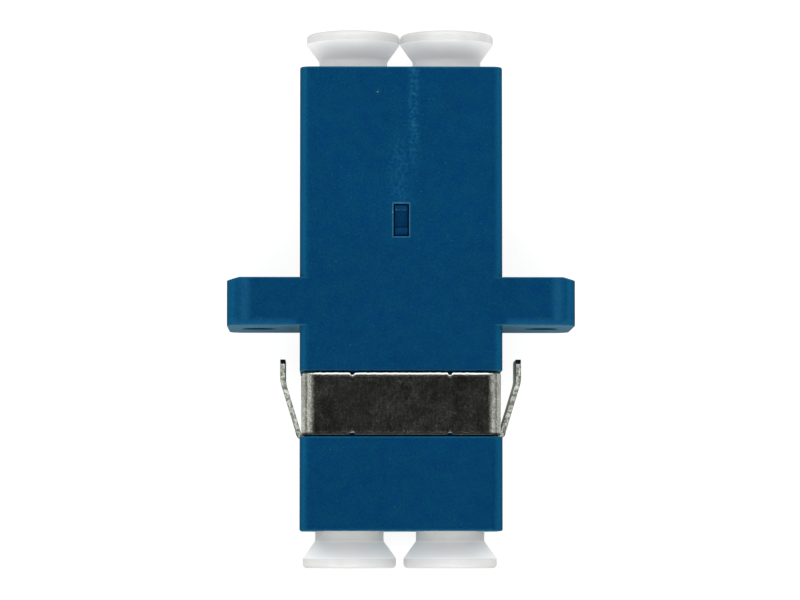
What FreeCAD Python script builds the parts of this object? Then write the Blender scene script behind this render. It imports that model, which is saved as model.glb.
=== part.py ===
import FreeCAD, Part
import os
import Sketcher

# A duplex LC fibre adapter with a flanged, SC-footprint housing, in millimetres.
# The flange's panel face is the plane y = 0.  +Y runs along the fibres to the rear ports, +X runs
# across the two ports, and +Z points out of the wide face above the latch slots.
# The origin lies midway between the two screw holes, halfway through the housing's depth.

SIZES = [
    ("body_depth", 9.3, "housing between its wide faces, Z"),
    ("front_reach", 12.98, "panel face to the front port face"),
    ("rear_reach", 16.42, "panel face to the rear port face"),
    ("long_edge_round", 0.7, "radius of the four long edges"),
    ("end_edge_bevel", 0.07, "bevel round both port faces"),
    ("ear_reach", 4.62, "each ear beyond the housing's side"),
    ("flange_thickness", 3.04, "ears along the fibres, Y"),
    ("ear_corner_round", 1.0, "radius of the ears' outer corners"),
    ("ear_bevel_across", 0.8, "bevel on the ears' rear edges, X"),
    ("ear_bevel_drop", 0.2, "the same bevel, Y"),
    ("screw_edge", 2.0, "ear's tip to the middle of its screw hole"),
    ("screw_hole", 2.2, "diameter of a screw hole"),
    ("port_pitch", 6.25, "between the two fibre axes"),
    ("port_size", 4.7, "side of a port's square part"),
    ("port_floor", 0.85, "wall under the ports"),
    ("port_roof", 0.85, "wall over the latch slots"),
    ("port_side", 0.94, "wall outside each port"),
    ("port_lead_in", 0.15, "bevel round each port's mouth"),
    ("latch_slot_width", 3.3, "slot between the latch lips"),
    ("lip_depth", 2.2, "latch lips along the fibres"),
    ("bulkhead", 1.0, "wall that the sleeve holder seats on"),
    ("window_width", 1.0, "snap window, X"),
    ("window_length", 2.1, "snap window, Y"),
    ("window_start", 5.61, "panel face to the snap window"),
    ("pip_offset", 1.5, "moulding pip from the middle, X"),
    ("pip_inset", 1.6, "moulding pip from the rear port face"),
    ("pip_ring", 0.3, "outer diameter of the pip's ring"),
    ("pip_core", 0.16, "diameter of the pip itself"),
    ("pip_sink", 0.06, "depth of the pip's ring"),
    ("sheet", 0.33, "thickness of the clip's steel"),
    ("clip_start", 2.96, "panel face to the clip's nearer edge"),
    ("clip_width", 3.96, "clip's band along the fibres"),
    ("clip_bend", 0.95, "outer radius of the clip's corners"),
    ("clip_play", 0.05, "gap under the clip"),
    ("leg_inset", 0.1, "clip's legs below the housing's sides"),
    ("clip_edge_gap", 0.12, "gap at each edge of the clip"),
    ("hook_length", 1.6, "clip's ends along the back face"),
    ("wing_height", 4.5, "spring wings, Z"),
    ("wing_slot", 0.3, "notch at each side of a wing's fold, Z"),
    ("wing_notch", 0.2, "depth of those notches, Y"),
    ("fold_gap", 0.04, "gap between a leg and its folded wing"),
    ("wing_spread", 1.26, "a wing's tip beyond the housing's side"),
    ("wing_angle", 17, "slope of the wings, degrees"),
    ("wing_panel_gap", 2.05, "panel face to the wings' tips"),
    ("wing_bend", 2.2, "outer radius of the wings' bends"),
    ("wing_tip_round", 0.4, "radius of the wings' tip corners"),
    ("nick_offset", 2.9, "edge nicks from the middle, X"),
    ("nick_width", 0.34, "edge nicks, X"),
    ("nick_depth", 0.1, "edge nicks, Y"),
    ("plate", 1.0, "thickness of each sleeve plate"),
    ("fit", 0.05, "gap round pieces that sit in the housing"),
    ("barrel_wall", 0.55, "wall of the sleeve barrels"),
    ("barrel_reach", 6.2, "barrels from the optical middle"),
    ("barrel_lip", 0.45, "length of the lip at a barrel's mouth"),
    ("barrel_lip_rise", 0.15, "that lip's step inside the bore"),
    ("ferrule_flare", 0.2, "lead-in at the barrels' mouths"),
    ("ferrule", 1.25, "inside diameter of a split sleeve"),
    ("sleeve_wall", 0.185, "wall of a split sleeve"),
    ("sleeve_ease", 0.04, "gap round a split sleeve in its barrels"),
    ("sleeve_end_gap", 0.05, "gap between a sleeve's end and a lip"),
    ("sleeve_slit", 0.5, "slit along the sleeve"),
    ("nib_recess", 0.2, "snap nib below the housing's face"),
    ("nib_gap", 0.1, "gap between the nib and the window's edges"),
    ("nib_ramp", 0.45, "sloped front of the nib, Y"),
    ("nib_ramp_drop", 0.08, "height of that slope"),
    ("nib_heel", 0.3, "flat heel at the nib's rear, Y"),
    ("nib_hollow", 0.22, "depth of the hollow between heel and slope"),
    ("finger", 0.7, "thickness of the snap finger"),
    ("finger_length", 5.6, "snap finger from its root to its free end"),
    ("finger_gap", 0.5, "space round the snap finger"),
    ("plug_ease", 0.15, "gap between a dust cap's plug and its port"),
    ("plug_length", 9.0, "plug inside the port"),
    ("plug_tip_bevel", 0.3, "bevel at the plug's tip"),
    ("cap_bore_ease", 0.15, "gap between a cap's bore and the barrel"),
    ("cap_bore_depth", 6.5, "depth of the plug's bore"),
    ("neck", 0.62, "neck between the plug and the cone"),
    ("cap_cone", 1.05, "cone from the neck to the rim"),
    ("rim_gap", 0.03, "gap between the rims of the rear caps"),
    ("rim_thickness", 0.7, "rim along the fibre"),
    ("rim_edge_bevel", 0.2, "bevel of the rim's outer edge"),
    ("rim_bevel", 0.1, "bevel between the rim and the cone"),
    ("rim_land", 0.75, "flat ring round the hollow in a cap's outer face"),
    ("dish_depth", 0.25, "depth of that hollow"),
    ("front_cap_lean", 0.12, "front caps outwards in their ports"),
    ("rear_cap_lean", 0.1, "rear caps inwards in their ports"),
    ("rear_cap_stand", 0.36, "rear caps short of their stop on the port face"),
]

document = FreeCAD.newDocument("fibre_adapter")
sheet = document.addObject("Spreadsheet::Sheet", "Size")
for row, (alias, size, meaning) in enumerate(SIZES, 1):
    sheet.set(f"A{row}", alias)
    sheet.set(f"B{row}", str(size))
    sheet.set(f"C{row}", meaning)
    sheet.setAlias(f"B{row}", alias)
document.recompute()

# Places that several pieces share, as expressions of the sheet's sizes.
FACE = "(Size.body_depth / 2)"
MIDDLE = "((Size.rear_reach - Size.front_reach) / 2)"
PORT_BASE = "(Size.port_floor - Size.body_depth / 2)"
PORT_TOP = f"({PORT_BASE} + Size.port_size)"
CEILING = f"({FACE} - Size.port_roof)"
FIBRE_HEIGHT = f"({PORT_BASE} + Size.port_size / 2)"
FIBRE_SIDE = "(Size.port_pitch / 2)"
PORT_INNER = f"({FIBRE_SIDE} - Size.port_size / 2)"
PORT_OUTER = f"({FIBRE_SIDE} + Size.port_size / 2)"
SIDE = f"({PORT_OUTER} + Size.port_side)"
EAR_TIP = f"({SIDE} + Size.ear_reach)"
SLOT_INNER = f"({FIBRE_SIDE} - Size.latch_slot_width / 2)"
SLOT_OUTER = f"({FIBRE_SIDE} + Size.latch_slot_width / 2)"
SEAT = f"({MIDDLE} - Size.plate)"
LEG = f"({SIDE} - Size.leg_inset)"
CLIP_REAR = "(-Size.clip_start)"
CLIP_FRONT = "(-Size.clip_start - Size.clip_width)"
GROOVE_DEPTH = "(Size.sheet + Size.clip_play)"
FOLD_ROOT = f"({CLIP_FRONT} + Size.wing_notch)"
FOLD_END = f"({FOLD_ROOT} - Size.sheet - Size.fold_gap / 2)"
WINDOW_END = "(Size.window_start + Size.window_length)"
SLEEVE = "(Size.ferrule + 2 * Size.sleeve_wall)"
BARREL_BORE = f"({SLEEVE} + 2 * Size.sleeve_ease)"
BARREL = f"({BARREL_BORE} + 2 * Size.barrel_wall)"
SIDES = (-1, 1)
CLEAR = "1"
CLOSE = 1e-4


def value(expression):
    """An expression's number now."""
    return float(sheet.evalExpression(expression))


def sided(side, expression):
    """The expression on the right (1) or mirrored to the left (-1)."""
    return f"{side} * ({expression})"


def rectangle(left, low, right, high):
    return [(left, low), (right, low), (right, high), (left, high)]


def mirrored(corners):
    """A left half that closes an outline given from its right half's first to last corner."""
    return corners + [(f"-({across})", up) for across, up in reversed(corners)]


def new_body(label):
    body = document.addObject("PartDesign::Body", label)
    body.Label = label
    return body


def new_sketch(body, name, role, height="0"):
    """A sketch on one of the body's own origin planes, moved along its normal."""
    sketch = body.newObject("Sketcher::SketchObject", name)
    plane = next(item for item in body.Origin.OriginFeatures if item.Role == role)
    sketch.AttachmentSupport = [(plane, "")]
    sketch.MapMode = "FlatFace"
    sketch.setExpression("AttachmentOffset.Base.z", height)
    return sketch


def sketch_across(body, name, distance):
    """A sketch in X and Z that stands at the given distance along +Y."""
    return new_sketch(body, name, "XZ_Plane", f"-({distance})")


def pin_point(sketch, curve, point, across, up):
    """Dimensions from the sketch's origin to a point of a curve."""
    for kind, expression in (("DistanceX", across), ("DistanceY", up)):
        constraint = Sketcher.Constraint(kind, -1, 1, curve, point, value(expression))
        number = sketch.addConstraint(constraint)
        sketch.setExpression(f"Constraints[{number}]", expression)


def draw_polygon(sketch, corners):
    """A closed outline whose corners are pairs of expressions."""
    first = sketch.GeometryCount
    spots = [FreeCAD.Vector(value(across), value(up), 0) for across, up in corners]
    for start, end in zip(spots, spots[1:] + spots[:1]):
        sketch.addGeometry(Part.LineSegment(start, end))
    for step, (across, up) in enumerate(corners):
        previous = first + (step - 1) % len(corners)
        sketch.addConstraint(Sketcher.Constraint("Coincident", previous, 2, first + step, 1))
        pin_point(sketch, first + step, 1, across, up)


def draw_circle(sketch, across, up, diameter):
    centre = FreeCAD.Vector(value(across), value(up), 0)
    normal = FreeCAD.Vector(0, 0, 1)
    curve = sketch.addGeometry(Part.Circle(centre, normal, value(diameter) / 2))
    pin_point(sketch, curve, 3, across, up)
    number = sketch.addConstraint(Sketcher.Constraint("Diameter", curve, value(diameter)))
    sketch.setExpression(f"Constraints[{number}]", diameter)


def extrude(kind, body, name, sketch, length, **settings):
    """A Pad or Pocket of the sketch, or a Pad or Pocket to both sides with SideType Symmetric."""
    feature = body.newObject(f"PartDesign::{kind}", name)
    feature.Profile = sketch
    feature.setExpression("Length", length)
    for setting, choice in settings.items():
        setattr(feature, setting, choice)
    document.recompute()
    return feature


def pad_to_rear(body, name, sketch, length):
    """A Pad of an X-Z sketch towards +Y."""
    return extrude("Pad", body, name, sketch, length, Reversed=True)


def cut_to_rear(body, name, sketch, length):
    """A Pocket of an X-Z sketch towards +Y."""
    return extrude("Pocket", body, name, sketch, length)


def turn(kind, body, name, sketch, axis):
    """A Revolution or Groove of the sketch about one of its own axes."""
    feature = body.newObject(f"PartDesign::{kind}", name)
    feature.Profile = sketch
    feature.ReferenceAxis = (sketch, [axis])
    feature.Angle = 360
    document.recompute()
    return feature


def dress(kind, body, name, is_wanted, setting, expression):
    """A Fillet or Chamfer on every edge of the body so far that is_wanted picks by its box."""
    base = body.Tip
    edges = enumerate(base.Shape.Edges, 1)
    names = [f"Edge{number}" for number, edge in edges if is_wanted(edge.BoundBox)]
    feature = body.newObject(f"PartDesign::{kind}", name)
    feature.Base = (base, names)
    feature.setExpression(setting, expression)
    document.recompute()
    return feature


def near(number, expression):
    return abs(number - value(expression)) < CLOSE


def runs_along_y(box, side, height):
    """A straight edge along Y at one distance to either side, and at one height."""
    straight = box.XLength < CLOSE and box.ZLength < CLOSE
    return straight and near(abs(box.XMin), side) and near(box.ZMin, height)


# --- Housing -----------------------------------------------------------------------------------

def port_outlines():
    """Each port is a square with a narrower latch slot above it."""
    for side in SIDES:
        port = [
            (PORT_INNER, PORT_BASE), (PORT_OUTER, PORT_BASE), (PORT_OUTER, PORT_TOP),
            (SLOT_OUTER, PORT_TOP), (SLOT_OUTER, CEILING), (SLOT_INNER, CEILING),
            (SLOT_INNER, PORT_TOP), (PORT_INNER, PORT_TOP),
        ]
        yield [(sided(side, across), up) for across, up in port]


def cut_front_ports(body):
    """Two separate ports up to the bulkhead, with latch pockets behind the lips."""
    depth = f"{SEAT} - Size.bulkhead + Size.front_reach"
    mouths = sketch_across(body, "FrontMouths", "-Size.front_reach")
    for outline in port_outlines():
        draw_polygon(mouths, outline)
    cut_to_rear(body, "FrontPorts", mouths, depth)
    behind_lips = sketch_across(body, "FrontLatchRooms", "Size.lip_depth - Size.front_reach")
    for side in SIDES:
        room = rectangle(sided(side, PORT_INNER), PORT_BASE, sided(side, PORT_OUTER), CEILING)
        draw_polygon(behind_lips, room)
    cut_to_rear(body, "FrontLatchPockets", behind_lips, f"{depth} - Size.lip_depth")


def cut_rear_chamber(body):
    """One chamber that the sleeve parts slide into, behind lips with a gap for their rib."""
    lips_start = "Size.rear_reach - Size.lip_depth"
    chamber = sketch_across(body, "RearChamberOutline", SEAT)
    draw_polygon(chamber, rectangle(f"-{PORT_OUTER}", PORT_BASE, PORT_OUTER, CEILING))
    cut_to_rear(body, "RearChamber", chamber, f"{lips_start} - {SEAT}")
    mouth = sketch_across(body, "RearMouthOutline", lips_start)
    draw_polygon(mouth, mirrored([
        (PORT_OUTER, PORT_BASE), (PORT_OUTER, PORT_TOP), (SLOT_OUTER, PORT_TOP),
        (SLOT_OUTER, CEILING), (SLOT_INNER, CEILING), (SLOT_INNER, PORT_TOP),
        (PORT_INNER, PORT_TOP), (PORT_INNER, CEILING),
    ]))
    cut_to_rear(body, "RearMouth", mouth, "Size.lip_depth")


def cut_barrel_passages(body):
    """Round holes in the bulkhead that the front barrels pass through."""
    passages = sketch_across(body, "PassageCircles", f"{SEAT} - Size.bulkhead")
    for side in SIDES:
        draw_circle(passages, sided(side, FIBRE_SIDE), FIBRE_HEIGHT, f"{BARREL} + 2 * Size.fit")
    cut_to_rear(body, "BarrelPassages", passages, "Size.bulkhead")


def cut_clip_groove(body):
    """A groove over the face and both sides, with seats for the hooks and the wings' folds."""
    outside = f"{SIDE} + {CLEAR}"
    floor = f"{LEG} - {GROOVE_DEPTH}"
    hook_end = f"{SIDE} - Size.hook_length - Size.clip_edge_gap"
    groove = sketch_across(body, "GrooveOutline", f"{CLIP_FRONT} - Size.clip_edge_gap")
    draw_polygon(groove, mirrored([
        (outside, f"{FACE} + {CLEAR}"), (outside, f"-{FACE} - {CLEAR}"),
        (hook_end, f"-{FACE} - {CLEAR}"), (hook_end, f"{GROOVE_DEPTH} - {FACE}"),
        (floor, f"{GROOVE_DEPTH} - {FACE}"), (floor, f"{FACE} - {GROOVE_DEPTH}"),
    ]))
    cut_to_rear(body, "ClipGroove", groove, "Size.clip_width + 2 * Size.clip_edge_gap")

    def is_groove_corner(box):
        upper = runs_along_y(box, floor, f"{FACE} - {GROOVE_DEPTH}")
        return upper or runs_along_y(box, floor, f"{GROOVE_DEPTH} - {FACE}")

    inner_bend = f"Size.clip_bend - {GROOVE_DEPTH}"
    dress("Fillet", body, "GrooveCorners", is_groove_corner, "Radius", inner_bend)
    seat_top = "Size.wing_height / 2 + Size.clip_edge_gap"
    seats = sketch_across(body, "FoldSeatOutlines", f"{FOLD_END} - Size.clip_edge_gap")
    for side in SIDES:
        seat = rectangle(sided(side, floor), f"-({seat_top})", sided(side, outside), seat_top)
        draw_polygon(seats, seat)
    cut_to_rear(body, "FoldSeats", seats, f"{CLIP_FRONT} - {FOLD_END}")


def cut_snap_window(body):
    window = new_sketch(body, "WindowOutline", "XY_Plane", FACE)
    half = "Size.window_width / 2"
    draw_polygon(window, rectangle(f"-{half}", "Size.window_start", half, WINDOW_END))
    extrude("Pocket", body, "SnapWindow", window, f"{FACE} - {CEILING}")


def cut_moulding_pip(body):
    """A small ring round the stub where the mould was fed."""
    ring = new_sketch(body, "PipCircles", "XY_Plane", FACE)
    spot = ("-Size.pip_offset", "Size.rear_reach - Size.pip_inset")
    draw_circle(ring, *spot, "Size.pip_ring")
    draw_circle(ring, *spot, "Size.pip_core")
    extrude("Pocket", body, "MouldingPip", ring, "Size.pip_sink")


def bevel_ear_ends(body):
    """The ears' rear edges slope off towards their ends."""
    rear = "Size.flange_thickness"
    bevels = new_sketch(body, "EarBevelOutlines", "XY_Plane")
    for side in SIDES:
        draw_polygon(bevels, [
            (sided(side, f"{EAR_TIP} - Size.ear_bevel_across"), rear),
            (sided(side, f"{EAR_TIP} + Size.ear_bevel_across"), rear),
            (sided(side, f"{EAR_TIP} + Size.ear_bevel_across"), f"{rear} - 2 * Size.ear_bevel_drop"),
        ])
    extrude("Pocket", body, "EarBevels", bevels, "2 * Size.body_depth", SideType="Symmetric")


def make_housing():
    """One moulding: ports, latch lips, bulkhead, ears, and the seats for the clip."""
    body = new_body("adapter_body")
    block = sketch_across(body, "BlockOutline", "-Size.front_reach")
    draw_polygon(block, rectangle(f"-{SIDE}", f"-{FACE}", SIDE, FACE))
    pad_to_rear(body, "Block", block, "Size.front_reach + Size.rear_reach")

    def is_long_edge(box):
        return runs_along_y(box, SIDE, FACE) or runs_along_y(box, SIDE, f"-{FACE}")

    dress("Fillet", body, "LongEdges", is_long_edge, "Radius", "Size.long_edge_round")

    def is_end_edge(box):
        at_end = near(box.YMin, "-Size.front_reach") or near(box.YMin, "Size.rear_reach")
        return box.YLength < CLOSE and at_end

    dress("Chamfer", body, "EndEdges", is_end_edge, "Size", "Size.end_edge_bevel")
    flange = sketch_across(body, "FlangeOutline", "0")
    draw_polygon(flange, rectangle(f"-{EAR_TIP}", f"-{FACE}", EAR_TIP, FACE))
    pad_to_rear(body, "Flange", flange, "Size.flange_thickness")

    def is_ear_corner(box):
        return runs_along_y(box, EAR_TIP, FACE) or runs_along_y(box, EAR_TIP, f"-{FACE}")

    dress("Fillet", body, "EarCorners", is_ear_corner, "Radius", "Size.ear_corner_round")
    bevel_ear_ends(body)
    screws = sketch_across(body, "ScrewCircles", "0")
    for side in SIDES:
        draw_circle(screws, sided(side, f"{EAR_TIP} - Size.screw_edge"), "0", "Size.screw_hole")
    cut_to_rear(body, "ScrewHoles", screws, "Size.flange_thickness")
    cut_front_ports(body)
    cut_rear_chamber(body)
    cut_barrel_passages(body)

    def is_mouth_edge(box):
        at_end = near(box.YMin, "-Size.front_reach") or near(box.YMin, "Size.rear_reach")
        inside = max(abs(box.XMin), abs(box.XMax)) < value(PORT_OUTER) + CLOSE
        return box.YLength < CLOSE and at_end and inside and box.ZMax < value(CEILING) + CLOSE

    def is_port_edge(box):
        return is_mouth_edge(box) and box.ZMin > value(PORT_BASE) - CLOSE

    dress("Chamfer", body, "PortLeadIns", is_port_edge, "Size", "Size.port_lead_in")
    cut_clip_groove(body)
    cut_snap_window(body)
    cut_moulding_pip(body)
    return body


# --- Sleeve parts ------------------------------------------------------------------------------

def sleeve_half(label, height):
    """A plate across both ports with a bored barrel on each fibre axis, grown towards +Y."""
    body = new_body(label)
    edge = f"{PORT_OUTER} - Size.fit"
    plate = sketch_across(body, "PlateOutline", "0")
    draw_polygon(plate, rectangle(f"-({edge})", f"{PORT_BASE} + Size.fit", edge, height))
    pad_to_rear(body, "Plate", plate, "Size.plate")
    barrels = sketch_across(body, "BarrelCircles", "0")
    for side in SIDES:
        draw_circle(barrels, sided(side, FIBRE_SIDE), FIBRE_HEIGHT, BARREL)
    pad_to_rear(body, "Barrels", barrels, "Size.barrel_reach")
    bore_side = f"{BARREL_BORE} / 2"
    lip_side = f"{bore_side} - Size.barrel_lip_rise"
    for side, name in zip(SIDES, ("Left", "Right")):
        bore = new_sketch(body, f"{name}BoreOutline", "XY_Plane", FIBRE_HEIGHT)
        bore.setExpression("AttachmentOffset.Base.x", sided(side, FIBRE_SIDE))
        lip_start = "Size.barrel_reach - Size.barrel_lip"
        flare_start = "Size.barrel_reach - Size.ferrule_flare"
        draw_polygon(bore, [
            ("0", "0"), (bore_side, "0"), (bore_side, lip_start),
            (lip_side, lip_start), (lip_side, flare_start),
            (f"{lip_side} + Size.ferrule_flare", "Size.barrel_reach"),
            ("0", "Size.barrel_reach"),
        ])
        turn("Groove", body, f"{name}Bore", bore, "V_Axis")
    return body


def make_holder():
    """The front half, which seats on the bulkhead with its barrels through it."""
    body = sleeve_half("sleeve_holder", f"{PORT_TOP} - Size.fit")
    body.Placement.Rotation = FreeCAD.Rotation(FreeCAD.Vector(0, 0, 1), 180)
    body.setExpression("Placement.Base.y", MIDDLE)
    return body


def make_retainer():
    """The rear half: its rib parts the rear ports and snaps into the window by a finger."""
    body = sleeve_half("sleeve_retainer", f"{PORT_TOP} - Size.fit")
    body.setExpression("Placement.Base.y", MIDDLE)
    low = f"{PORT_BASE} + Size.fit"
    top = f"{CEILING} - Size.fit"
    rear = f"Size.rear_reach - Size.fit - {MIDDLE}"
    nib_front = f"Size.window_start + Size.nib_gap - {MIDDLE}"
    nib_rear = f"{WINDOW_END} - Size.nib_gap - {MIDDLE}"
    root = f"{nib_front} + Size.finger_length"
    under_finger = f"{top} - Size.finger"
    rib = new_sketch(body, "RibOutline", "YZ_Plane")
    draw_polygon(rib, [
        ("0", low), (rear, low), (rear, top), (nib_front, top), (nib_front, under_finger),
        (root, under_finger), (root, f"{under_finger} - Size.finger_gap"),
        (f"{nib_front} - Size.finger_gap", f"{under_finger} - Size.finger_gap"),
        (f"{nib_front} - Size.finger_gap", top), ("0", top),
    ])
    thickness = f"2 * ({PORT_INNER} - Size.fit)"
    extrude("Pad", body, "Rib", rib, thickness, SideType="Symmetric")
    nib_top = f"{FACE} - Size.nib_recess"
    heel = f"{nib_rear} - Size.nib_heel"
    ramp = f"{nib_front} + Size.nib_ramp"
    hollow = f"{nib_top} - Size.nib_hollow"
    nib = new_sketch(body, "NibOutline", "YZ_Plane")
    draw_polygon(nib, [
        (nib_front, under_finger), (nib_rear, under_finger),
        (nib_rear, nib_top), (heel, nib_top), (heel, hollow), (ramp, hollow), (ramp, nib_top),
        (nib_front, f"{nib_top} - Size.nib_ramp_drop"),
    ])
    extrude("Pad", body, "Nib", nib, "Size.window_width - 2 * Size.nib_gap", SideType="Symmetric")
    return body


def make_split_sleeve(label, side):
    """A zirconia tube, slit along its length, that lines the ferrules up."""
    body = new_body(label)
    body.setExpression("Placement.Base.x", sided(side, FIBRE_SIDE))
    body.setExpression("Placement.Base.y", MIDDLE)
    body.setExpression("Placement.Base.z", FIBRE_HEIGHT)
    half_length = "(Size.barrel_reach - Size.barrel_lip - Size.sleeve_end_gap)"
    ring = sketch_across(body, "TubeCircles", f"-{half_length}")
    draw_circle(ring, "0", "0", SLEEVE)
    draw_circle(ring, "0", "0", "Size.ferrule")
    pad_to_rear(body, "Tube", ring, f"2 * {half_length}")
    slit = sketch_across(body, "SlitOutline", f"-{half_length}")
    half = "Size.sleeve_slit / 2"
    draw_polygon(slit, rectangle(f"-{half}", "0", half, SLEEVE))
    cut_to_rear(body, "Slit", slit, f"2 * {half_length}")
    return body


# --- Mounting clip -----------------------------------------------------------------------------

def add_wings(body):
    """Each wing folds back from its leg's front edge, slopes out, and ends parallel to the leg."""
    notches = sketch_across(body, "WingNotches", f"{CLIP_FRONT} - {CLEAR}")
    notch_top = "Size.wing_height / 2 + Size.wing_slot"
    for side in SIDES:
        inner = sided(side, f"{LEG} - Size.sheet - {CLEAR}")
        outer = sided(side, f"{SIDE} + {CLEAR}")
        draw_polygon(notches, rectangle(inner, f"-({notch_top})", outer, notch_top))
    cut_to_rear(body, "FoldNotches", notches, f"Size.wing_notch + {CLEAR}")
    leg_inside = f"({LEG} - Size.sheet)"
    wing_inside = f"({LEG} + Size.fold_gap)"
    wing_outside = f"({LEG} + Size.fold_gap + Size.sheet)"
    tip_inside = f"({SIDE} + Size.wing_spread - Size.sheet)"
    tip_outside = f"({SIDE} + Size.wing_spread)"
    rise = f"(({tip_outside} - {wing_outside}) / tan(Size.wing_angle))"
    elbow = f"({FOLD_ROOT} + {rise})"
    miter = "(Size.sheet * tan(Size.wing_angle / 2))"
    wings = new_sketch(body, "WingOutlines", "XY_Plane")
    for side in SIDES:
        wing = [
            (leg_inside, FOLD_ROOT), (leg_inside, FOLD_END), (wing_outside, FOLD_END),
            (wing_outside, FOLD_ROOT), (tip_outside, elbow),
            (tip_outside, "-Size.wing_panel_gap"), (tip_inside, "-Size.wing_panel_gap"),
            (tip_inside, f"{elbow} + {miter}"), (wing_inside, f"{FOLD_ROOT} + {miter}"),
            (wing_inside, FOLD_ROOT),
        ]
        draw_polygon(wings, [(sided(side, across), along) for across, along in wing])
    extrude("Pad", body, "Wings", wings, "Size.wing_height", SideType="Symmetric")

    def is_upright(box, across, along):
        upright = box.XLength < CLOSE and box.YLength < CLOSE
        return upright and near(abs(box.XMin), across) and near(box.YMin, along)

    def is_fold_corner(box):
        return is_upright(box, leg_inside, FOLD_END) or is_upright(box, wing_outside, FOLD_END)

    def is_outer_elbow(box):
        return is_upright(box, tip_outside, elbow)

    def is_inner_elbow(box):
        return is_upright(box, tip_inside, f"{elbow} + {miter}")

    dress("Fillet", body, "Folds", is_fold_corner, "Radius", "Size.sheet")
    dress("Fillet", body, "OuterElbows", is_outer_elbow, "Radius", "Size.wing_bend")
    inner_bend = "Size.wing_bend - Size.sheet"
    dress("Fillet", body, "InnerElbows", is_inner_elbow, "Radius", inner_bend)

    def is_tip_corner(box):
        along_x = box.YLength < CLOSE and box.ZLength < CLOSE
        at_tip = near(box.YMin, "-Size.wing_panel_gap")
        return along_x and at_tip and near(abs(box.ZMin), "Size.wing_height / 2")

    dress("Fillet", body, "TipCorners", is_tip_corner, "Radius", "Size.wing_tip_round")


def make_clip():
    """One blanked and folded steel sheet: band, hooked legs and folded-back spring wings."""
    body = new_body("mounting_clip")
    inner_side = f"({LEG} - Size.sheet)"
    inner_face = f"({FACE} - Size.sheet)"
    hook_end = f"({SIDE} - Size.hook_length)"
    band = sketch_across(body, "BandOutline", CLIP_FRONT)
    draw_polygon(band, mirrored([
        (LEG, FACE), (LEG, f"-{FACE}"), (hook_end, f"-{FACE}"), (hook_end, f"-{inner_face}"),
        (inner_side, f"-{inner_face}"), (inner_side, inner_face),
    ]))
    pad_to_rear(body, "Band", band, "Size.clip_width")

    def is_outer_corner(box):
        return runs_along_y(box, LEG, FACE) or runs_along_y(box, LEG, f"-{FACE}")

    def is_inner_corner(box):
        upper = runs_along_y(box, inner_side, inner_face)
        return upper or runs_along_y(box, inner_side, f"-{inner_face}")

    dress("Fillet", body, "OuterBends", is_outer_corner, "Radius", "Size.clip_bend")
    dress("Fillet", body, "InnerBends", is_inner_corner, "Radius", "Size.clip_bend - Size.sheet")
    nicks = new_sketch(body, "NickOutlines", "XY_Plane", FACE)
    for side in SIDES:
        left = sided(side, "Size.nick_offset - Size.nick_width / 2")
        right = sided(side, "Size.nick_offset + Size.nick_width / 2")
        front = rectangle(left, f"{CLIP_FRONT} - {CLEAR}", right, f"{CLIP_FRONT} + Size.nick_depth")
        rear = rectangle(left, f"{CLIP_REAR} - Size.nick_depth", right, f"{CLIP_REAR} + {CLEAR}")
        draw_polygon(nicks, front)
        draw_polygon(nicks, rear)
    extrude("Pocket", body, "EdgeNicks", nicks, "Size.sheet")
    add_wings(body)
    return body


# --- Dust caps ---------------------------------------------------------------------------------

def make_dust_cap(label, side, end):
    """A turned-form plug: bored plug, plain neck, cone, and a rim with a hollow face."""
    body = new_body(label)
    if end > 0:
        along = "Size.rear_reach + Size.rear_cap_stand"
        across = f"{FIBRE_SIDE} - Size.rear_cap_lean"
    else:
        along = "-Size.front_reach"
        across = f"{FIBRE_SIDE} + Size.front_cap_lean"
        body.Placement.Rotation = FreeCAD.Rotation(FreeCAD.Vector(0, 0, 1), 180)
    body.setExpression("Placement.Base.x", sided(side, across))
    body.setExpression("Placement.Base.y", along)
    body.setExpression("Placement.Base.z", FIBRE_HEIGHT)
    cone_end = "Size.neck + Size.cap_cone"
    outer = f"({cone_end} + Size.rim_thickness)"
    bore_end = "Size.cap_bore_depth - Size.plug_length"
    bore = f"({BARREL} / 2 + Size.cap_bore_ease)"
    plug = "(Size.port_size / 2 - Size.plug_ease)"
    rim = "(Size.port_pitch / 2 - Size.rear_cap_lean - Size.rim_gap / 2)"
    half = new_sketch(body, "CapOutline", "XY_Plane")
    draw_polygon(half, [
        (bore, "-Size.plug_length"),
        (f"{plug} - Size.plug_tip_bevel", "-Size.plug_length"),
        (plug, "Size.plug_tip_bevel - Size.plug_length"),
        (plug, "Size.neck"),
        (f"{rim} - Size.rim_bevel", cone_end),
        (rim, f"{cone_end} + Size.rim_bevel"),
        (rim, f"{outer} - Size.rim_edge_bevel"),
        (f"{rim} - Size.rim_edge_bevel", outer),
        (f"{rim} - Size.rim_land", outer),
        (f"{rim} - Size.rim_land - Size.dish_depth", f"{outer} - Size.dish_depth"),
        ("0", f"{outer} - Size.dish_depth"),
        ("0", bore_end),
        (bore, bore_end),
    ])
    turn("Revolution", body, "Cap", half, "V_Axis")
    return body


def make_dust_caps():
    for end, end_name in ((-1, "front"), (1, "rear")):
        for side, side_name in zip(SIDES, ("left", "right")):
            yield make_dust_cap(f"dust_cap_{end_name}_{side_name}", side, end)


# --- Checks and files --------------------------------------------------------------------------

def check_document():
    """Stops on a failed feature, and on a cut that took nothing away."""
    for item in document.Objects:
        if {"Invalid", "Error"} & set(item.State):
            raise RuntimeError(f"{item.Name} failed: {item.State}")
        if item.TypeId in ("PartDesign::Pocket", "PartDesign::Groove"):
            if item.Shape.Volume > item.BaseFeature.Shape.Volume - CLOSE:
                raise RuntimeError(f"{item.Name} cut nothing")


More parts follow.
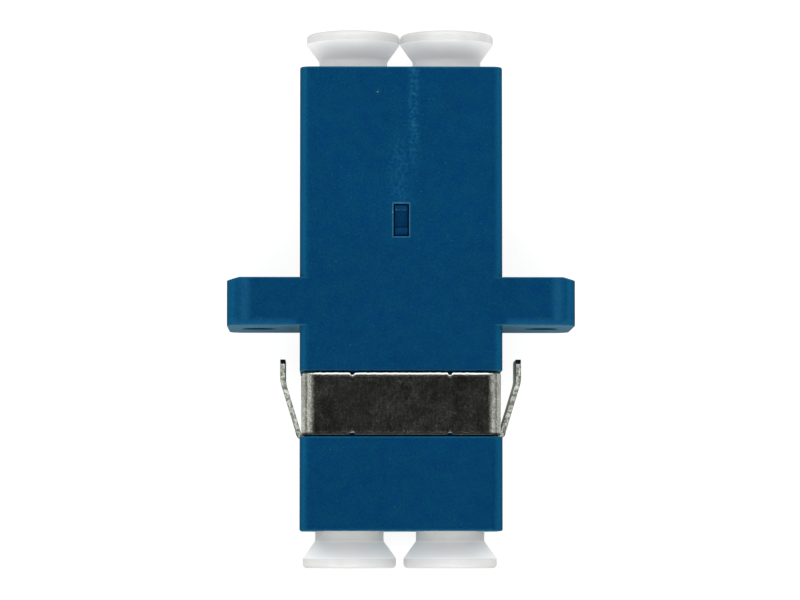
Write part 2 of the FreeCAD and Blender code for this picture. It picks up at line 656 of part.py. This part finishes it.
def write_steps(bodies):
    os.makedirs("parts", exist_ok=True)
    for body in bodies:
        shape = body.Shape
        if shape.isNull() or not shape.isValid() or len(shape.Solids) != 1:
            raise RuntimeError(f"{body.Label} is not one valid solid")
    for body in bodies:
        body.Shape.exportStep(f"parts/{body.Label}.step")
        print(f"{body.Label}: {body.Shape.Volume:.2f} mm3")


pieces = [make_housing(), make_holder(), make_retainer()]
pieces += [make_split_sleeve("split_sleeve_left", -1), make_split_sleeve("split_sleeve_right", 1)]
pieces += [make_clip(), *make_dust_caps()]
document.recompute()
check_document()
write_steps(pieces)
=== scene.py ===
import math
import random

import bmesh
import bpy
from mathutils import Matrix, Vector


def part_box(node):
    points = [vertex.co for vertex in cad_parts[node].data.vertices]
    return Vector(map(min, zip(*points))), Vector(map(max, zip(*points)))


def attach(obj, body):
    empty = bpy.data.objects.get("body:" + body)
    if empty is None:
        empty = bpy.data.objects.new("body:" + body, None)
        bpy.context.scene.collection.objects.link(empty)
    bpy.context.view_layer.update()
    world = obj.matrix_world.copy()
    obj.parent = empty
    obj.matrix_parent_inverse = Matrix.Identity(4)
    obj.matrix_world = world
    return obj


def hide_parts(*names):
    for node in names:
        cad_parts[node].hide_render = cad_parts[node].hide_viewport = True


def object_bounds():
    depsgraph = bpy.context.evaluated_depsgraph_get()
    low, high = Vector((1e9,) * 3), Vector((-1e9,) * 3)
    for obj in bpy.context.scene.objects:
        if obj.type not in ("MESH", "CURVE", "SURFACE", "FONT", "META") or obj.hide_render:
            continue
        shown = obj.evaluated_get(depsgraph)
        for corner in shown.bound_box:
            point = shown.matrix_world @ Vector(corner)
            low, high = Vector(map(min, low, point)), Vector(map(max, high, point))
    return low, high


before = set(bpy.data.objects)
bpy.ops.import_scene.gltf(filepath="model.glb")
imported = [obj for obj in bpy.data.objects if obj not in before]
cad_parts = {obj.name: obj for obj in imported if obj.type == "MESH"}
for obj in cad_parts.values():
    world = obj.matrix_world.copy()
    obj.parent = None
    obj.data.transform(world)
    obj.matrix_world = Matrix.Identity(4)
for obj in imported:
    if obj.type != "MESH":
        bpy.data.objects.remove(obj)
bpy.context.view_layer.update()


# --- Housing ------------------------------------------------------------------------------------
# The housing is one injection moulding in a blue polycarbonate blend. The mould is spark-eroded,
# which leaves a fine matte grain, and the resin shows faint mottling, a paler weld line between
# the rear ports, and a blush where it flowed past the snap window.

MM = 0.001
WIDE_FACE = (3.7 * MM, 4.0 * MM)    # the face's marks fade in between these heights
WELD_LINE = 0.78 * MM               # across, in X
GATE = -0.1 * MM
WINDOW_HALF_WIDTH = 0.5 * MM
WINDOW_HALF_LENGTH = 1.05 * MM
WINDOW_MIDDLE = 6.66 * MM           # along, in Y
GROOVE_REAR = -2.96 * MM
EAR_ROOT = (6.5 * MM, 6.8 * MM)     # across, where the ears' marks fade in
EAR_BAND = 9.9 * MM
SCREW_HOLE = 9.035 * MM
SCREW_HOLE_RADIUS = 1.13 * MM


def srgb(red, green, blue):
    """A linear colour from 8-bit screen values."""
    def linear(part):
        part /= 255
        return part / 12.92 if part <= 0.04045 else ((part + 0.055) / 1.055) ** 2.4
    return (linear(red), linear(green), linear(blue), 1.0)


class Shader:
    """A material, or the world, with its node tree and short ways to add nodes to it."""

    def __init__(self, name, world=False):
        kind = bpy.data.worlds if world else bpy.data.materials
        self.material = kind.new(name)
        self.material.use_nodes = True
        self.tree = self.material.node_tree
        self.tree.nodes.clear()
        output = "ShaderNodeOutputWorld" if world else "ShaderNodeOutputMaterial"
        self.output = self.tree.nodes.new(output)

    def put(self, socket, given):
        if isinstance(given, bpy.types.NodeSocket):
            self.tree.links.new(given, socket)
        else:
            socket.default_value = given

    def add(self, kind, settings=None, **inputs):
        node = self.tree.nodes.new("ShaderNode" + kind)
        for key, setting in (settings or {}).items():
            setattr(node, key, setting)
        for key, given in inputs.items():
            self.put(node.inputs[key.replace("_", " ")], given)
        return node

    def place(self):
        """The point's place in the shared frame, in metres."""
        return self.add("TexCoord").outputs["Object"]

    def axes(self, vector):
        """The three parts of a vector."""
        return self.add("SeparateXYZ", Vector=vector).outputs

    def math(self, operation, *given):
        node = self.add("Math", {"operation": operation})
        for socket, part in zip(node.inputs, given):
            self.put(socket, part)
        return node.outputs[0]

    def product(self, first, *others):
        for other in others:
            first = self.math("MULTIPLY", first, other)
        return first

    def away(self, given, middle):
        """How far given is from middle, to either side."""
        return self.math("ABSOLUTE", self.math("SUBTRACT", given, middle))

    def vectors(self, operation, result, *given):
        """A sum with vectors, and its result by the socket's name."""
        node = self.add("VectorMath", {"operation": operation})
        for socket, part in zip(node.inputs, given):
            self.put(socket, part)
        return node.outputs[result]

    def scaled(self, colour, tone):
        return self.add("VectorMath", {"operation": "SCALE"}, Vector=colour, Scale=tone).outputs[0]

    def noise(self, vector, grain, detail=2.0, rough=0.5):
        """Noise with lumps of about grain metres."""
        inputs = {"Vector": vector, "Scale": 1 / grain, "Detail": detail, "Roughness": rough}
        return self.add("TexNoise", **inputs).outputs[0]

    def spread(self, given, low, high, start=0.0, end=1.0):
        """given, from low..high to start..end, held at both ends."""
        node = self.add("MapRange")
        for socket, part in zip(node.inputs, (given, low, high, start, end)):
            self.put(socket, part)
        return node.outputs[0]

    def mix(self, share, first, second):
        node = self.add("Mix", {"data_type": "RGBA"})
        self.put(node.inputs[0], share)
        self.put(node.inputs[6], first)
        self.put(node.inputs[7], second)
        return node.outputs[2]

    def bump(self, height, depth, strength=1.0, under=None):
        inputs = {"Height": height, "Distance": depth, "Strength": strength}
        if under is not None:
            inputs["Normal"] = under
        return self.add("Bump", **inputs).outputs[0]

    def finish(self, surface):
        self.tree.links.new(surface.outputs[0], self.output.inputs["Surface"])
        return self.material


def flow_marks(shader, place, on_top):
    """The weld line and the blush near the window, as a share of the paler colour."""
    across, along = shader.axes(place)[:2]
    weld = shader.product(
        shader.spread(shader.away(across, WELD_LINE), 0.1 * MM, 0.45 * MM, 1.0, 0.0),
        shader.spread(along, 9 * MM, 12 * MM))
    blush = shader.product(
        shader.spread(shader.away(across, GATE), 0.2 * MM, 1.0 * MM, 0.6, 0.0),
        shader.spread(along, 6.4 * MM, 8 * MM),
        shader.spread(along, 13 * MM, 10.5 * MM))
    flecks = shader.spread(shader.noise(place, 0.22 * MM, 3.0, 0.7), 0.42, 0.62)
    return shader.product(shader.math("MAXIMUM", weld, blush), on_top, 0.55, flecks)


def painted_sheen_and_shade(shader, colour, along, in_window):
    """The colour again, with painted sheen where the sides begin to slope, painted shade on the
    steep sides, and painted highlights on the faces turned to the front and along the edges.
    """
    normal = shader.add("NewGeometry").outputs["Normal"]
    facing = shader.axes(normal)
    sloping = shader.math("SUBTRACT", 1.0, shader.math("ABSOLUTE", facing[2]))
    # Painted sheen where the sides begin to slope, and painted shade on the steep sides.
    colour = shader.mix(shader.spread(sloping, 0.01, 0.2), colour, srgb(10, 80, 116))
    colour = shader.mix(shader.spread(sloping, 0.5, 0.9), colour, srgb(0, 60, 88))
    # Painted reflection on the faces turned to the front.
    forward_sheen = shader.spread(facing[1], -0.8, -0.97)
    colour = shader.mix(forward_sheen, colour, srgb(84, 132, 150))

    # A painted highlight along the rounded edges, weaker in the window and left off at the
    # groove's rear edge.
    rounded = shader.add("Bevel", {"samples": 6}, Radius=0.2 * MM).outputs[0]
    agreement = shader.vectors("DOT_PRODUCT", "Value", normal, rounded)
    edge = shader.product(
        shader.spread(agreement, 0.995, 0.8),
        shader.spread(in_window, 0.0, 1.0, 0.7, 0.05),
        shader.spread(shader.away(along, GROOVE_REAR), 0.3 * MM, 0.5 * MM))
    return shader.mix(edge, colour, srgb(34, 104, 128))


def ear_highlights_and_hole_shade(shader, place):
    """A painted highlight in a band across each ear and along its lower edge, and where painted
    shade goes inside the screw holes.
    """
    across, along, height = shader.axes(place)
    ear = shader.math("ABSOLUTE", across)
    band = shader.product(
        shader.spread(ear, *EAR_ROOT),
        shader.math("MAXIMUM",
                    shader.spread(shader.away(ear, EAR_BAND), 0.1 * MM, 0.5 * MM, 0.35, 0.0),
                    shader.spread(along, 0.1 * MM, 0.55 * MM, 0.4, 0.0)))
    from_hole = shader.add("CombineXYZ", X=shader.math("SUBTRACT", ear, SCREW_HOLE), Z=height)
    from_hole = shader.vectors("LENGTH", "Value", from_hole.outputs[0])
    hole_shade = shader.product(shader.math("LESS_THAN", from_hole, SCREW_HOLE_RADIUS),
                             shader.spread(along, 0.0, 0.1 * MM))
    return band, hole_shade


def blue_moulding():
    shader = Shader("blue_moulding")
    place = shader.place()
    across, along, height = shader.axes(place)
    on_top = shader.spread(height, *WIDE_FACE)

    grain = shader.noise(place, 0.13 * MM, 3.0, 0.65)
    mottle = shader.noise(place, 0.9 * MM, 4.0, 0.6)
    clouds = shader.noise(place, 5.0 * MM, 2.0, 0.5)
    tone = shader.product(shader.spread(grain, 0.3, 0.7, 0.82, 1.22),
                          shader.spread(clouds, 0.3, 0.7, 0.96, 1.04),
                          shader.spread(along, -12 * MM, 14 * MM, 0.95, 1.04))
    colour = shader.mix(shader.spread(mottle, 0.35, 0.65), srgb(0, 53, 92), srgb(2, 58, 91))
    colour = shader.mix(flow_marks(shader, place, on_top), colour, srgb(26, 92, 128))
    scuffs = shader.spread(shader.noise(place, 0.12 * MM, 2.0, 0.6), 0.68, 0.76)
    colour = shader.mix(shader.product(scuffs, 0.5), colour, srgb(40, 104, 140))

    # Painted highlight on the window's cut lip, and painted shade in the window, darker still over
    # the nib's hollow middle.
    from_middle = shader.away(along, WINDOW_MIDDLE)
    outside = shader.math(
        "MAXIMUM",
        shader.math("SUBTRACT", shader.math("ABSOLUTE", across), WINDOW_HALF_WIDTH),
        shader.math("SUBTRACT", from_middle, WINDOW_HALF_LENGTH))
    in_window = shader.product(shader.math("LESS_THAN", outside, 0.0), on_top)
    colour = painted_sheen_and_shade(shader, colour, along, in_window)
    lip_highlight = shader.product(shader.spread(outside, 0.09 * MM, 0.04 * MM),
                         shader.spread(in_window, 0.0, 1.0, 0.25, 0.0), on_top)
    colour = shader.mix(lip_highlight, colour, srgb(72, 124, 150))
    hollow = shader.product(in_window, shader.spread(from_middle, 0.52 * MM, 0.4 * MM))
    tone = shader.product(tone, shader.spread(in_window, 0.0, 1.0, 1.0, 0.7),
                          shader.spread(hollow, 0.0, 1.0, 1.0, 0.85))

    band, hole_shade = ear_highlights_and_hole_shade(shader, place)
    # Painted highlight on the ears, and painted shade in the screw holes.
    colour = shader.mix(band, colour, srgb(28, 92, 130))
    tone = shader.product(tone, shader.spread(hole_shade, 0.0, 1.0, 1.0, 0.3))

    # Painted glints: one on the moulding pip, and two on the nib and the window's lip.
    on_face = shader.add("CombineXYZ", X=across, Y=along).outputs[0]
    for glint_across, glint_along, size, shine in ((-1.5, 14.8, 0.07, (70, 128, 132)),
                                                   (-0.3, 7.3, 0.06, (92, 96, 140)),
                                                   (-0.53, 7.15, 0.05, (100, 140, 160))):
        middle = Vector((glint_across, glint_along, 0.0)) * MM
        from_glint = shader.vectors("DISTANCE", "Value", on_face, middle)
        glint = shader.product(shader.spread(from_glint, size * MM, 0.5 * size * MM), on_top)
        colour = shader.mix(glint, colour, srgb(*shine))

    surface = shader.add("BsdfPrincipled", Base_Color=shader.scaled(colour, tone), Roughness=0.6,
                         Normal=shader.bump(grain, 0.03 * MM, 0.6))
    surface.inputs["Specular IOR Level"].default_value = 0.025
    # A painted glow in the window lifts the shade round the nib.
    surface.inputs["Emission Color"].default_value = srgb(0, 24, 56)
    shader.put(surface.inputs["Emission Strength"], shader.product(in_window, 0.6))
    return shader.finish(surface)


def dress(node, material, edge):
    """A CAD node's material, with a small radius on its sharp edges."""
    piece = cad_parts[node]
    piece.data.materials.clear()
    piece.data.materials.append(material)
    joined = piece.modifiers.new("joined", "WELD")
    joined.merge_threshold = 0.001 * MM
    rounding = piece.modifiers.new("edges", "BEVEL")
    rounding.width = edge
    rounding.segments = 3
    rounding.limit_method = "ANGLE"
    rounding.angle_limit = math.radians(25)
    rounding.harden_normals = True


BLUE = blue_moulding()
dress("adapter_body", BLUE, 0.02 * MM)


# --- Sleeve holder and retainer -----------------------------------------------------------------
# Two smaller mouldings of the same resin close on the split sleeves inside the housing. The
# retainer's spring finger ends in a ramped nib that snaps into the window of the wide face.

for carrier in ("sleeve_holder", "sleeve_retainer"):
    dress(carrier, BLUE, 0.03 * MM)


# --- Split sleeves ------------------------------------------------------------------------------
# Each split sleeve is a slit tube of ground zirconia, off-white and slightly glossy, with faint
# rings left by centreless grinding. It lies loose in its barrel and lines two ferrules up.

def zirconia():
    shader = Shader("zirconia")
    along = shader.axes(shader.place())[1]
    rings = shader.noise(shader.add("CombineXYZ", Y=along).outputs[0], 0.05 * MM, 2.0)
    colour = shader.mix(rings, srgb(222, 220, 212), srgb(238, 237, 232))
    surface = shader.add("BsdfPrincipled", Base_Color=colour, Roughness=0.25,
                         Normal=shader.bump(rings, 0.002 * MM))
    return shader.finish(surface)


ZIRCONIA = zirconia()
for sleeve in ("split_sleeve_left", "split_sleeve_right"):
    dress(sleeve, ZIRCONIA, 0.02 * MM)


# --- Mounting clip ------------------------------------------------------------------------------
# The clip is blanked and folded from spring-steel strip and grips the groove round the housing.
# The press leaves a smooth rolled-over edge on the outer side, a torn, mottled cut below it, and
# two nicks in each edge of the web. The side that lay against the die is dull.

SHEET = 0.33 * MM                   # thickness
LEG = 6.315 * MM                    # across, to a leg's outer side
FACE = 4.65 * MM                    # up, to the web's outer side
BAND_BEND = 0.95 * MM               # outer radius
HOOK_TIP = 4.815 * MM               # across
CLIP_REAR = GROOVE_REAR             # along
CLIP_FRONT = -6.92 * MM
NICK_PLACE = 3.1 * MM               # across
NICK_HALF_WIDTH = 0.14 * MM
NICK_DEPTH = 0.12 * MM
RAGGED_DEPTH = 0.025 * MM
FOLD_ROOT = -6.72 * MM              # along, where a wing is folded back
FOLD_RADIUS = 0.35 * MM
WING_SIDE = LEG + 0.37 * MM         # across, a wing's outer side at its root
WING_TIP = (7.675 * MM, -2.05 * MM)  # across and along
WING_ELBOW_BEND = 2.2 * MM
WING_SLOPE = math.tan(math.radians(17))
WING_HALF_WIDTH = 2.25 * MM
WING_CORNER = 0.4 * MM
# The black end of a wing is painted shade.
TIP_SHADE = (-2.37 * MM, -2.33 * MM)  # along, where the black end of a wing begins


def rolled_steel():
    shader = Shader("rolled_steel")
    place = shader.place()
    across, along = shader.axes(place)[:2]
    drawn_out = shader.add("Mapping", Vector=place, Scale=(1.0, 0.12, 1.0)).outputs[0]
    streaks = shader.noise(drawn_out, 0.1 * MM, 4.0, 0.75)
    specks = shader.noise(place, 0.17 * MM, 4.0, 0.8)
    patches = shader.noise(place, 1.3 * MM, 3.0, 0.7)
    dots = shader.spread(shader.noise(place, 0.11 * MM, 1.0, 0.5), 0.7, 0.78)
    tone = shader.product(shader.spread(streaks, 0.3, 0.7, 0.3, 0.75),
                          shader.spread(specks, 0.36, 0.64, 0.6, 1.6),
                          shader.spread(patches, 0.35, 0.65, 0.75, 1.25))
    colour = shader.mix(tone, srgb(76, 79, 71), srgb(222, 225, 213))
    colour = shader.mix(dots, colour, srgb(250, 250, 245))
    # Painted highlight on the rear edge's roll, and painted shade on the front edge's roll.
    rear_edge_highlight = shader.product(
        shader.spread(along, -3.14 * MM, -3.1 * MM),
        shader.spread(shader.math("ABSOLUTE", across), 5.6 * MM, 5.2 * MM))
    colour = shader.mix(rear_edge_highlight, colour, srgb(250, 250, 244))
    colour = shader.mix(shader.spread(along, -6.76 * MM, -6.82 * MM), colour, srgb(78, 80, 76))
    lines = shader.bump(streaks, 0.006 * MM, 0.6)
    lines = shader.bump(specks, 0.012 * MM, 0.8, lines)
    surface = shader.add("BsdfPrincipled", Base_Color=colour, Metallic=1.0, Normal=lines,
                         Roughness=shader.spread(patches, 0.3, 0.7, 0.13, 0.17))
    return shader.finish(surface)


def torn_steel():
    """The cut edges, where the strip was parted, with painted shade that turns the wings' tips
    nearly black.
    """
    shader = Shader("torn_steel")
    place = shader.place()
    tears = shader.spread(shader.noise(place, 0.25 * MM, 3.0, 0.7), 0.4, 0.6)
    colour = shader.mix(tears, srgb(112, 117, 106), srgb(222, 226, 216))
    tip_shade = shader.spread(shader.axes(place)[1], *TIP_SHADE)
    colour = shader.mix(tip_shade, colour, srgb(16, 18, 16))
    surface = shader.add("BsdfPrincipled", Base_Color=colour, Metallic=0.35, Roughness=0.7,
                         Normal=shader.bump(tears, 0.03 * MM))
    return shader.finish(surface)


def dull_steel():
    shader = Shader("dull_steel")
    stain = shader.noise(shader.place(), 0.3 * MM, 4.0, 0.7)
    colour = shader.mix(stain, srgb(98, 104, 92), srgb(146, 152, 138))
    surface = shader.add("BsdfPrincipled", Base_Color=colour, Metallic=1.0, Roughness=0.4,
                         Normal=shader.bump(stain, 0.01 * MM))
    return shader.finish(surface)


def bent(corners, steps=24):
    """Corners (across, along, bend) as a line of points, with each corner rounded by its bend."""
    points = []
    for index, (across, along, bend) in enumerate(corners):
        corner = Vector((across, along))
        if not bend:
            points.append(corner)
            continue
        before = Vector(corners[index - 1][:2]) - corner
        after = Vector(corners[(index + 1) % len(corners)][:2]) - corner
        half = before.angle(after) / 2
        toward = (before.normalized() + after.normalized()).normalized()
        hub = corner + toward * (bend / math.sin(half))
        reach = bend / math.tan(half)
        first = corner + before.normalized() * reach - hub
        last = corner + after.normalized() * reach - hub
        for step in range(steps + 1):
            arm = first.lerp(last, step / steps).normalized()
            points.append(hub + arm * bend)
    return points


def evenly(points, gap):
    """The line again, with points added so that none are farther apart than gap."""
    line = [points[0]]
    for start, end in zip(points, points[1:]):
        parts = max(1, math.ceil((end - start).length / gap))
        line += [start.lerp(end, part / parts) for part in range(1, parts + 1)]
    return line


def sheet_section(low, high, rolls):
    """The sheet's cross-section as (depth, height), with its low and high edge rolled over."""
    quarter = [(1 - math.cos(turn), 1 - math.sin(turn))
               for turn in (0.0, math.pi / 8, math.pi / 4, math.pi * 3 / 8, math.pi / 2)]
    inner = 0.02 * MM
    margin = 0.35 * MM
    section = [(0.0, low + margin)]
    section += [(rolls[0] * depth, low + rolls[0] * lift) for depth, lift in quarter]
    section += [(SHEET - inner, low), (SHEET, low + inner), (SHEET, low + margin)]
    section += [(SHEET, high - margin), (SHEET, high - inner), (SHEET - inner, high)]
    section += [(rolls[1] * depth, high - rolls[1] * lift) for depth, lift in reversed(quarter)]
    section += [(0.0, high - margin)]
    return section


CUT_SIDES = (5, 11)                 # sides of the section, counted from its first point
REVERSE_SIDES = (7, 8, 9)
ROLLED, TORN, DULL = rolled_steel(), torn_steel(), dull_steel()


def folded(name, path, rolls, edges, point):
    """A bent sheet. The path runs along its outer side with the sheet to the right of it, rolls
    are the radii of its low and high edge, edges gives those edges at a path point, and point
    turns (plane point, height) into a place."""
    vertices, faces, finish = [], [], []
    for index, spot in enumerate(path):
        ahead = path[min(index + 1, len(path) - 1)] - spot
        behind = spot - path[max(index - 1, 0)]
        heading = (ahead.normalized() + behind.normalized()).normalized()
        inward = Vector((heading.y, -heading.x))
        section = sheet_section(*edges(index, spot), rolls)
        vertices += [point(spot + inward * depth, height) for depth, height in section]
    count = len(section)
    for index in range(len(path) - 1):
        for side in range(count):
            following = (side + 1) % count
            faces.append((index * count + side, index * count + following,
                          (index + 1) * count + following, (index + 1) * count + side))
            finish.append(1 if side in CUT_SIDES else 2 if side in REVERSE_SIDES else 0)
    faces += [tuple(range(count)), tuple(len(vertices) - 1 - side for side in range(count))]
    finish += [1, 1]
    mesh = bpy.data.meshes.new(name)
    mesh.from_pydata(vertices, [], faces)
    for polygon, index in zip(mesh.polygons, finish):
        polygon.material_index = index
    outward = bmesh.new()
    outward.from_mesh(mesh)
    bmesh.ops.recalc_face_normals(outward, faces=outward.faces)
    outward.to_mesh(mesh)
    outward.free()
    mesh.shade_smooth()
    mesh.set_sharp_from_angle(angle=math.radians(35))
    piece = bpy.data.objects.new(name, mesh)
    bpy.context.collection.objects.link(piece)
    for material in (ROLLED, TORN, DULL):
        piece.data.materials.append(material)
    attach(piece, "housing")
    return piece


wander = random.Random(11)
ragged = [wander.uniform(0.0, RAGGED_DEPTH) for _ in range(1000)]


def band_edges(index, spot):
    at_nick = abs(abs(spot.x) - NICK_PLACE) < NICK_HALF_WIDTH and spot.y > 0
    nick = NICK_DEPTH if at_nick else 0.0
    at_wing = abs(spot.x) > 6.0 * MM and abs(spot.y) < WING_HALF_WIDTH + 0.3 * MM
    low = FOLD_ROOT if at_wing else CLIP_FRONT + nick + ragged[index]
    return low, CLIP_REAR - nick - ragged[-index]


def across_band(spot, height):
    return Vector((spot.x, height, spot.y))


leg_line = [(-HOOK_TIP, -FACE, 0.0), (-LEG, -FACE, BAND_BEND), (-LEG, FACE, BAND_BEND),
            (LEG, FACE, BAND_BEND), (LEG, -FACE, BAND_BEND), (HOOK_TIP, -FACE, 0.0)]
band = folded("clip_band", evenly(bent(leg_line), 0.085 * MM), (0.03 * MM, 0.15 * MM),
              band_edges, across_band)
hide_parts("mounting_clip")

turn_hub = Vector((LEG + 0.02 * MM, FOLD_ROOT))
turn_line = [turn_hub + Vector((-math.cos(angle), -math.sin(angle))) * FOLD_RADIUS
             for angle in [math.pi * step / 12 for step in range(13)]]
wing_line = bent([(WING_SIDE, FOLD_ROOT, 0.0),
                  (WING_TIP[0], FOLD_ROOT + (WING_TIP[0] - WING_SIDE) / WING_SLOPE,
                   WING_ELBOW_BEND),
                  (*WING_TIP, 0.0)])
wing_path = evenly((turn_line + wing_line[1:])[::-1], 0.08 * MM)


def wing_edges(index, spot):
    from_tip = WING_TIP[1] - spot.y
    missing = 0.0
    if from_tip < WING_CORNER:
        missing = WING_CORNER - math.sqrt(WING_CORNER ** 2 - (WING_CORNER - from_tip) ** 2)
    half = WING_HALF_WIDTH - missing
    return -half, half


for side, label in ((-1, "left"), (1, "right")):
    folded(f"clip_wing_{label}", wing_path, (0.05 * MM, 0.05 * MM), wing_edges,
           lambda spot, height, side=side: Vector((side * spot.x, spot.y, height)))


# --- Dust caps ----------------------------------------------------------------------------------
# The four dust caps are soft white polyethylene mouldings pushed into the ports: a hollow plug, a
# coned collar and a rim with a shallow recess. Light sinks a little way into the resin. The
# collar, the rim and the rear caps' necks are painted paler and given a painted glow, so that
# their shaded sides stay pale.

CAP_STAND = 2.37 * MM               # along, from a cap's stop to the outer face of its rim
COLLAR_START = 0.6 * MM             # along, from the same stop
COLLAR_END = 1.73 * MM
CAP_OUTLINE = bent([(across * MM, along * MM, bend * MM) for across, along, bend in (
    (1.55, -9.0, 0.05), (1.9, -9.0, 0.05), (2.2, -8.7, 0.1), (2.2, 0.62, 0.25),
    (3.01, 1.72, 0.14), (3.01, 2.37, 0.28), (2.26, 2.37, 0.06), (2.01, 2.12, 0.08),
    (0.0, 2.12, 0.0), (0.0, -2.5, 0.0), (1.55, -2.5, 0.1))])


def white_cap():
    shader = Shader("white_cap")
    flow = shader.noise(shader.place(), 0.8 * MM, 2.0, 0.5)
    tone = shader.spread(flow, 0.3, 0.7, 0.97, 1.02)
    # Painted light: this share makes the collar, rim and rear necks paler and makes them glow.
    glow_share = shader.add("Attribute", {"attribute_name": "glow_share"}).outputs["Fac"]
    colour = shader.mix(glow_share, srgb(226, 226, 224), srgb(250, 250, 249))
    surface = shader.add("BsdfPrincipled", Base_Color=shader.scaled(colour, tone), Roughness=0.45,
                         Normal=shader.bump(flow, 0.01 * MM))
    surface.inputs["Subsurface Weight"].default_value = 0.6
    surface.inputs["Subsurface Radius"].default_value = (1.0, 0.97, 0.95)
    surface.inputs["Subsurface Scale"].default_value = 0.4 * MM
    surface.inputs["Emission Color"].default_value = (1.0, 1.0, 1.0, 1.0)
    shader.put(surface.inputs["Emission Strength"], shader.product(glow_share, 0.32, tone))
    return shader.finish(surface)


def glow_share_at(along, outward):
    """The share of painted paleness and painted glow at a distance along the cap, from 0 to 1."""
    if along < COLLAR_START:
        return 0.35 if outward > 0 else 0.0
    if along < COLLAR_END:
        return 0.6 + (along - COLLAR_START) / MM * 0.27
    return max(0.0, min(0.22, 2.25 - along / MM))


def turned(name, outline, centre, outward, steps=96):
    """A smooth turned mesh: the outline's points swept round the fibre axis."""
    count = len(outline)
    vertices = []
    for step in range(steps):
        angle = 2 * math.pi * step / steps
        for across, along in outline:
            vertices.append(centre + Vector((across * math.cos(angle), outward * along,
                                             across * math.sin(angle))))
    faces = []
    for step in range(steps):
        here, there = step * count, (step + 1) % steps * count
        for index in range(count):
            following = (index + 1) % count
            faces.append((here + index, here + following, there + following, there + index))
    mesh = bpy.data.meshes.new(name)
    mesh.from_pydata(vertices, [], faces)
    glow_share = mesh.attributes.new("glow_share", "FLOAT", "POINT")
    for number, entry in enumerate(glow_share.data):
        entry.value = glow_share_at(outline[number % count].y, outward)
    closed = bmesh.new()
    closed.from_mesh(mesh)
    bmesh.ops.remove_doubles(closed, verts=closed.verts, dist=0.001 * MM)
    bmesh.ops.recalc_face_normals(closed, faces=closed.faces)
    closed.to_mesh(mesh)
    closed.free()
    mesh.shade_smooth()
    piece = bpy.data.objects.new(name, mesh)
    bpy.context.collection.objects.link(piece)
    return piece


WHITE = white_cap()
for end, outward in (("front", -1), ("rear", 1)):
    for side in ("left", "right"):
        low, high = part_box(f"dust_cap_{end}_{side}")
        centre = (low + high) / 2
        centre.y = high.y - CAP_STAND if outward > 0 else low.y + CAP_STAND
        cap = turned(f"cap_{end}_{side}_moulding", CAP_OUTLINE, centre, outward)
        cap.data.materials.append(WHITE)
        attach(cap, f"cap_{end}_{side}")
        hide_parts(f"dust_cap_{end}_{side}")


# --- Floor --------------------------------------------------------------------------------------
# A plain pale sheet under the part. It glows for the camera and in mirrors and glass, so that it
# stays white round a soft shadow.

FLOOR_GLOW = 0.88
FLOOR_IN_MIRRORS = 0.6


def pale_floor():
    shader = Shader("pale_floor")
    rays = shader.add("LightPath").outputs
    mirrored = shader.math("MAXIMUM", rays["Is Glossy Ray"], rays["Is Transmission Ray"])
    seen = shader.math("MULTIPLY_ADD", mirrored, FLOOR_IN_MIRRORS, rays["Is Camera Ray"])
    paper = shader.add("BsdfDiffuse", Color=(0.25, 0.25, 0.25, 1.0))
    glow = shader.add("Emission", Color=(1.0, 1.0, 1.0, 1.0),
                      Strength=shader.product(seen, FLOOR_GLOW))
    both = shader.add("AddShader")
    shader.put(both.inputs[0], paper.outputs[0])
    shader.put(both.inputs[1], glow.outputs[0])
    return shader.finish(both)


floor_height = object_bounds()[0].z
bpy.ops.mesh.primitive_plane_add(size=4.0, location=(0.0, 0.0, floor_height))
floor = bpy.context.object
floor.name = "floor"
floor.data.materials.append(pale_floor())


# --- Light --------------------------------------------------------------------------------------
# A light tent, white round the sides, fading to the horizon and brighter behind the rear ports.
# Its top has a dark opening for the camera, so that flat steel mirrors dark and its bends shine,
# and a soft box high over each end lights the caps' collars.

OPENING = Vector((0.05, 0.06, 0.997))


def studio():
    shader = Shader("studio", world=True)
    direction = shader.add("TexCoord").outputs["Generated"]
    across, along, height = shader.axes(direction)
    overhead = shader.vectors("DOT_PRODUCT", "Value", direction, OPENING)
    tent = shader.product(shader.spread(overhead, 0.4, 0.95, 1.5, 0.02),
                          shader.spread(across, -1.0, 1.0, 1.02, 0.98),
                          shader.spread(height, 0.0, 0.6, 0.0, 1.0),
                          shader.spread(along, 0.3, 0.9, 0.9, 2.4))
    to_side = shader.math("ABSOLUTE", across)
    to_end = shader.math("ABSOLUTE", along)
    boxes = shader.product(shader.spread(to_end, 0.22, 0.4), shader.spread(to_end, 0.8, 0.6),
                           shader.spread(to_side, 0.7, 0.5, 0.0, 1.1),
                           shader.spread(along, -0.2, 0.2, 2.8, 1.0))
    seen = shader.add("LightPath").outputs["Is Camera Ray"]
    level = shader.math("MAXIMUM", shader.math("ADD", tent, boxes), seen)
    return shader.finish(shader.add("Background", Color=(1.0, 1.0, 1.0, 1.0), Strength=level))


bpy.context.scene.world = studio()


# --- Camera -------------------------------------------------------------------------------------
# The camera stands nearly over the part, a little towards its front ports, with the rear ports
# at the top of its view.

CAMERA_PLACE = Vector((-4.0, -14.4, 260.65)) * MM
CAMERA_AIM = Vector((-0.08, 1.58, 4.65)) * MM

camera_data = bpy.data.cameras.new("camera")
camera_data.sensor_width = 36.0
camera_data.lens = 182.8
camera_data.clip_start = 0.01
camera_data.clip_end = 20.0
camera = bpy.data.objects.new("camera", camera_data)
bpy.context.collection.objects.link(camera)
camera.location = CAMERA_PLACE
back = (CAMERA_PLACE - CAMERA_AIM).normalized()
right = Vector((0.0, 1.0, 0.0)).cross(back).normalized()
camera.rotation_euler = Matrix((right, back.cross(right), back)).transposed().to_euler()
bpy.context.scene.camera = camera
bpy.context.scene.view_settings.view_transform = "Standard"
